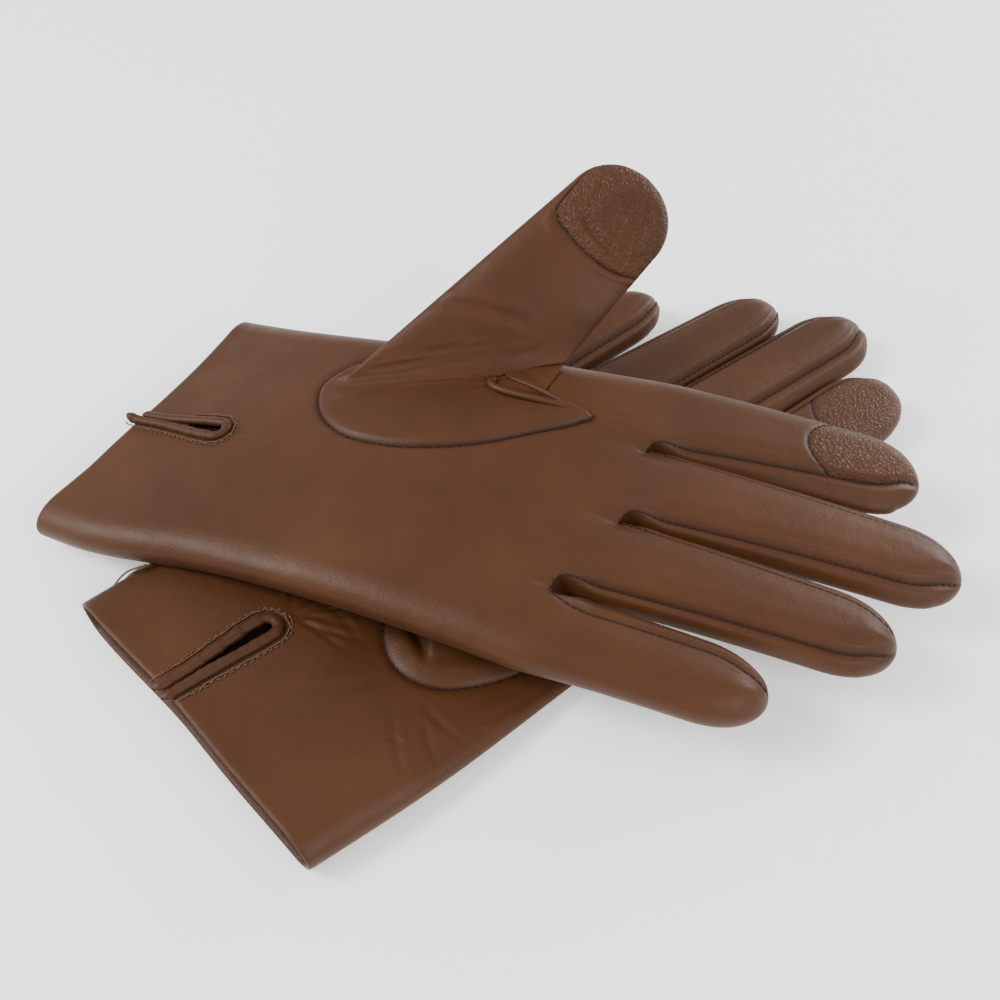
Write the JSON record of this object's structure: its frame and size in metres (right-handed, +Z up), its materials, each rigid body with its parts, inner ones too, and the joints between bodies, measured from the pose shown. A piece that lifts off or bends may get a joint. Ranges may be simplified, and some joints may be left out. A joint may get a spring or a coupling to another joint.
{
  "type": "touchscreen leather gloves",
  "caption": "Pair of plain leather dress gloves with touchscreen fingertips, palm up, the left glove lying across the right one with its thumb raised.",
  "frame": {"origin": "centre of the pair's footprint, on the surface the gloves lie on", "axes": "+X along the left glove from its cuff to its fingertips, +Z up from the surface, +Y to the left glove's thumb side"},
  "size_m": [0.2368, 0.2272, 0.0717],
  "materials": {
    "leather": "smooth dyed sheepskin nappa with a soft satin sheen and very fine grain",
    "edge_leather": "the same leather turned and rolled at the cuff and the vent, a little darker",
    "touch_leather": "conductive-finished leather set into the index finger and thumb tips, smoother than the rest",
    "lining_knit": "fine dark brown knitted lining, matt",
    "thread": "twisted sewing thread"
  },
  "bodies": {
    "right_glove": {"right_cuff_facing": "edge_leather", "right_vent_binding": "edge_leather", "right_thumb_base": "leather", "right_thumb_quirk": "leather", "right_thumb": "leather", "right_thumb_touch_patch": "touch_leather", "right_thumb_lining": "lining_knit", "right_trank": "leather", "right_lining": "lining_knit", "right_fourchette_index_middle": "leather", "right_fourchette_middle_ring": "leather", "right_fourchette_ring_little": "leather", "right_index_lining": "lining_knit", "right_middle_lining": "lining_knit", "right_ring_lining": "lining_knit", "right_little_lining": "lining_knit", "pair_thread": "thread"},
    "left_glove": {"left_cuff_facing": "edge_leather", "left_vent_binding": "edge_leather", "left_thumb_base": "leather", "left_thumb_quirk": "leather", "left_trank": "leather", "left_lining": "lining_knit"},
    "left_index": {"left_index_touch_patch": "touch_leather", "left_index_finger": "leather", "left_index_lining": "lining_knit", "left_index_fourchette_outer_side": "leather"},
    "left_middle": {"left_middle_finger": "leather", "left_middle_lining": "lining_knit", "left_middle_fourchette_thumb_side": "leather", "left_middle_fourchette_outer_side": "leather"},
    "left_ring": {"left_ring_finger": "leather", "left_ring_lining": "lining_knit", "left_ring_fourchette_thumb_side": "leather", "left_ring_fourchette_outer_side": "leather"},
    "left_little": {"left_little_finger": "leather", "left_little_lining": "lining_knit", "left_little_fourchette_thumb_side": "leather"},
    "left_thumb_part": {"left_thumb": "leather", "left_thumb_touch_patch": "touch_leather", "left_thumb_lining": "lining_knit"},
    "right_index_end": {"right_index_touch_patch": "touch_leather", "right_index_fingertip": "leather", "right_index_fingertip_lining": "lining_knit", "right_index_fourchette_outer_side": "leather"},
    "right_middle_end": {"right_middle_fingertip": "leather", "right_middle_fingertip_lining": "lining_knit", "right_middle_fourchette_thumb_side": "leather", "right_middle_fourchette_outer_side": "leather"},
    "right_ring_end": {"right_ring_fingertip": "leather", "right_ring_fingertip_lining": "lining_knit", "right_ring_fourchette_thumb_side": "leather", "right_ring_fourchette_outer_side": "leather"},
    "right_little_end": {"right_little_fingertip": "leather", "right_little_fingertip_lining": "lining_knit", "right_little_fourchette_thumb_side": "leather"}
  },
  "joints": [
    {"name": "left_glove_lift", "type": "slide", "parent": "right_glove", "child": "left_glove", "axis": [0, 0, 1], "range_m": [0, 0.018]},
    {"name": "left_index_knuckle", "type": "hinge", "parent": "left_glove", "child": "left_index", "pos_m": [0.03125, 0.0373, 0.02871], "axis": [0.1219, -0.9925, 0], "range_deg": [0, 70]},
    {"name": "left_middle_knuckle", "type": "hinge", "parent": "left_glove", "child": "left_middle", "pos_m": [0.03082, 0.0103, 0.02873], "axis": [0.0958, -0.9954, 0], "range_deg": [0, 70]},
    {"name": "left_ring_knuckle", "type": "hinge", "parent": "left_glove", "child": "left_ring", "pos_m": [0.03057, -0.0162, 0.02873], "axis": [0.0785, -0.9969, 0], "range_deg": [0, 70]},
    {"name": "left_little_knuckle", "type": "hinge", "parent": "left_glove", "child": "left_little", "pos_m": [0.02232, -0.0423, 0.02892], "axis": [0.0611, -0.9981, 0], "range_deg": [0, 70]},
    {"name": "left_thumb_crease", "type": "hinge", "parent": "left_glove", "child": "left_thumb_part", "pos_m": [-0.0429, 0.0203, 0.02576], "axis": [0.9205, 0.3907, 0], "range_deg": [-15, 60]},
    {"name": "right_index_bend", "type": "hinge", "parent": "right_glove", "child": "right_index_end", "pos_m": [0.07102, 0.06547, 0.0128], "axis": [0.8957, -0.4446, 0], "range_deg": [0, 60]},
    {"name": "right_middle_bend", "type": "hinge", "parent": "right_glove", "child": "right_middle_end", "pos_m": [0.04681, 0.07451, 0.0128], "axis": [0.8712, -0.4909, 0], "range_deg": [0, 60]},
    {"name": "right_ring_bend", "type": "hinge", "parent": "right_glove", "child": "right_ring_end", "pos_m": [0.01958, 0.07432, 0.0128], "axis": [0.8581, -0.5135, 0], "range_deg": [0, 60]},
    {"name": "right_little_bend", "type": "hinge", "parent": "right_glove", "child": "right_little_end", "pos_m": [-0.01094, 0.07108, 0.0128], "axis": [0.8838, -0.4679, 0], "range_deg": [0, 60]}
  ]
}
